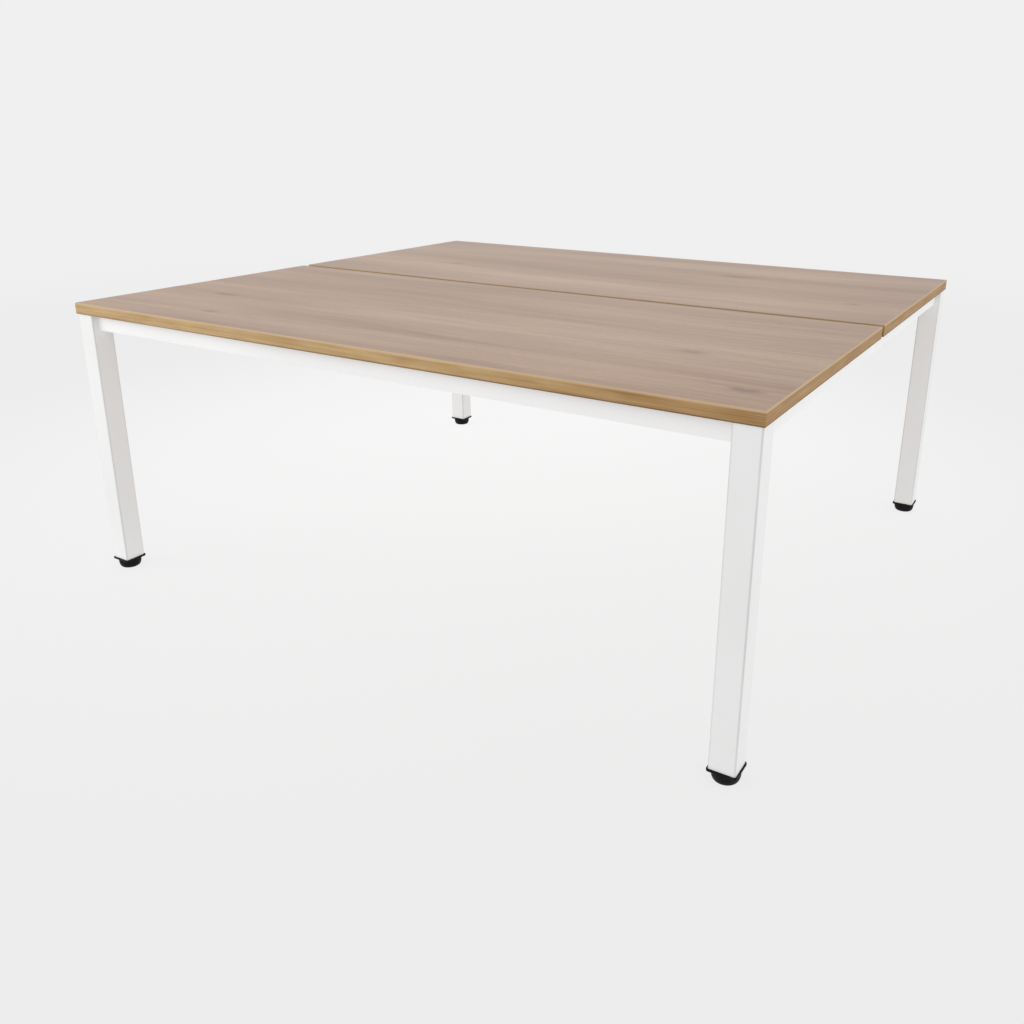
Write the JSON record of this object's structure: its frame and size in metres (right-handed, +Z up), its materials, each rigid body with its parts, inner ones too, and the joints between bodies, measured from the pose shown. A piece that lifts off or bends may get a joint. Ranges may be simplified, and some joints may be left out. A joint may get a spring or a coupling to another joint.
{
  "type": "benching desk for two",
  "caption": "Rectangular bench desk for two facing work places: wood-decor worktops with a cable gap on a white square-tube frame with black levelling feet.",
  "frame": {"origin": "floor under the middle of the desk", "axes": "X along the long edge, +Y from the front work place to the rear one, +Z up"},
  "size_m": [1.8, 1.62, 0.73],
  "materials": {
    "laminate": "matt wood-decor melamine, greyed beige with fine grain along the length",
    "edge_band": "amber plastic edge band, satin",
    "frame_white": "white powder coat, fine texture",
    "foot_black": "black moulded plastic",
    "zinc_steel": "bright zinc-plated steel"
  },
  "bodies": {
    "frame": {"worktop_front": "laminate", "band_front_outer": "edge_band", "band_front_inner": "edge_band", "band_front_left": "edge_band", "band_front_right": "edge_band", "worktop_rear": "laminate", "band_rear_outer": "edge_band", "band_rear_inner": "edge_band", "band_rear_left": "edge_band", "band_rear_right": "edge_band", "leg_front_left": "frame_white", "leg_rear_left": "frame_white", "end_rail_left": "frame_white", "leg_front_right": "frame_white", "leg_rear_right": "frame_white", "end_rail_right": "frame_white", "rail_front_outer": "frame_white", "spigot_front_outer_left": "zinc_steel", "rail_screw_front_outer_left": "zinc_steel", "top_screw_front_outer_left": "zinc_steel", "spigot_front_outer_right": "zinc_steel", "rail_screw_front_outer_right": "zinc_steel", "top_screw_front_outer_right": "zinc_steel", "rail_front_inner": "frame_white", "spigot_front_inner_left": "zinc_steel", "rail_screw_front_inner_left": "zinc_steel", "top_screw_front_inner_left": "zinc_steel", "spigot_front_inner_right": "zinc_steel", "rail_screw_front_inner_right": "zinc_steel", "top_screw_front_inner_right": "zinc_steel", "rail_rear_outer": "frame_white", "spigot_rear_outer_left": "zinc_steel", "rail_screw_rear_outer_left": "zinc_steel", "top_screw_rear_outer_left": "zinc_steel", "spigot_rear_outer_right": "zinc_steel", "rail_screw_rear_outer_right": "zinc_steel", "top_screw_rear_outer_right": "zinc_steel", "rail_rear_inner": "frame_white", "spigot_rear_inner_left": "zinc_steel", "rail_screw_rear_inner_left": "zinc_steel", "top_screw_rear_inner_left": "zinc_steel", "spigot_rear_inner_right": "zinc_steel", "rail_screw_rear_inner_right": "zinc_steel", "top_screw_rear_inner_right": "zinc_steel", "foot_cap_front_left": "foot_black", "foot_nut_front_left": "zinc_steel", "foot_cap_front_right": "foot_black", "foot_nut_front_right": "zinc_steel", "foot_cap_rear_left": "foot_black", "foot_nut_rear_left": "zinc_steel", "foot_cap_rear_right": "foot_black", "foot_nut_rear_right": "zinc_steel"},
    "stem_front_left": {"foot_stem_front_left": "zinc_steel"},
    "glide_front_left": {"foot_glide_front_left": "foot_black"},
    "stem_front_right": {"foot_stem_front_right": "zinc_steel"},
    "glide_front_right": {"foot_glide_front_right": "foot_black"},
    "stem_rear_left": {"foot_stem_rear_left": "zinc_steel"},
    "glide_rear_left": {"foot_glide_rear_left": "foot_black"},
    "stem_rear_right": {"foot_stem_rear_right": "zinc_steel"},
    "glide_rear_right": {"foot_glide_rear_right": "foot_black"}
  },
  "joints": [
    {"name": "foot_front_left_travel", "type": "slide", "parent": "frame", "child": "stem_front_left", "axis": [0, 0, -1], "range_m": [0, 0.01]},
    {"name": "foot_front_left_turn", "type": "hinge", "parent": "stem_front_left", "child": "glide_front_left", "pos_m": [-0.8695, -0.7795, 0], "axis": [0, 0, -1], "range_deg": [0, 2400]},
    {"name": "foot_front_right_travel", "type": "slide", "parent": "frame", "child": "stem_front_right", "axis": [0, 0, -1], "range_m": [0, 0.01]},
    {"name": "foot_front_right_turn", "type": "hinge", "parent": "stem_front_right", "child": "glide_front_right", "pos_m": [0.8695, -0.7795, 0], "axis": [0, 0, -1], "range_deg": [0, 2400]},
    {"name": "foot_rear_left_travel", "type": "slide", "parent": "frame", "child": "stem_rear_left", "axis": [0, 0, -1], "range_m": [0, 0.01]},
    {"name": "foot_rear_left_turn", "type": "hinge", "parent": "stem_rear_left", "child": "glide_rear_left", "pos_m": [-0.8695, 0.7795, 0], "axis": [0, 0, -1], "range_deg": [0, 2400]},
    {"name": "foot_rear_right_travel", "type": "slide", "parent": "frame", "child": "stem_rear_right", "axis": [0, 0, -1], "range_m": [0, 0.01]},
    {"name": "foot_rear_right_turn", "type": "hinge", "parent": "stem_rear_right", "child": "glide_rear_right", "pos_m": [0.8695, 0.7795, 0], "axis": [0, 0, -1], "range_deg": [0, 2400]}
  ],
  "couplings": [
    {"joint": "foot_front_left_travel", "follows": "foot_front_left_turn", "m_per_rad": 0.00023873},
    {"joint": "foot_front_right_travel", "follows": "foot_front_right_turn", "m_per_rad": 0.00023873},
    {"joint": "foot_rear_left_travel", "follows": "foot_rear_left_turn", "m_per_rad": 0.00023873},
    {"joint": "foot_rear_right_travel", "follows": "foot_rear_right_turn", "m_per_rad": 0.00023873}
  ]
}
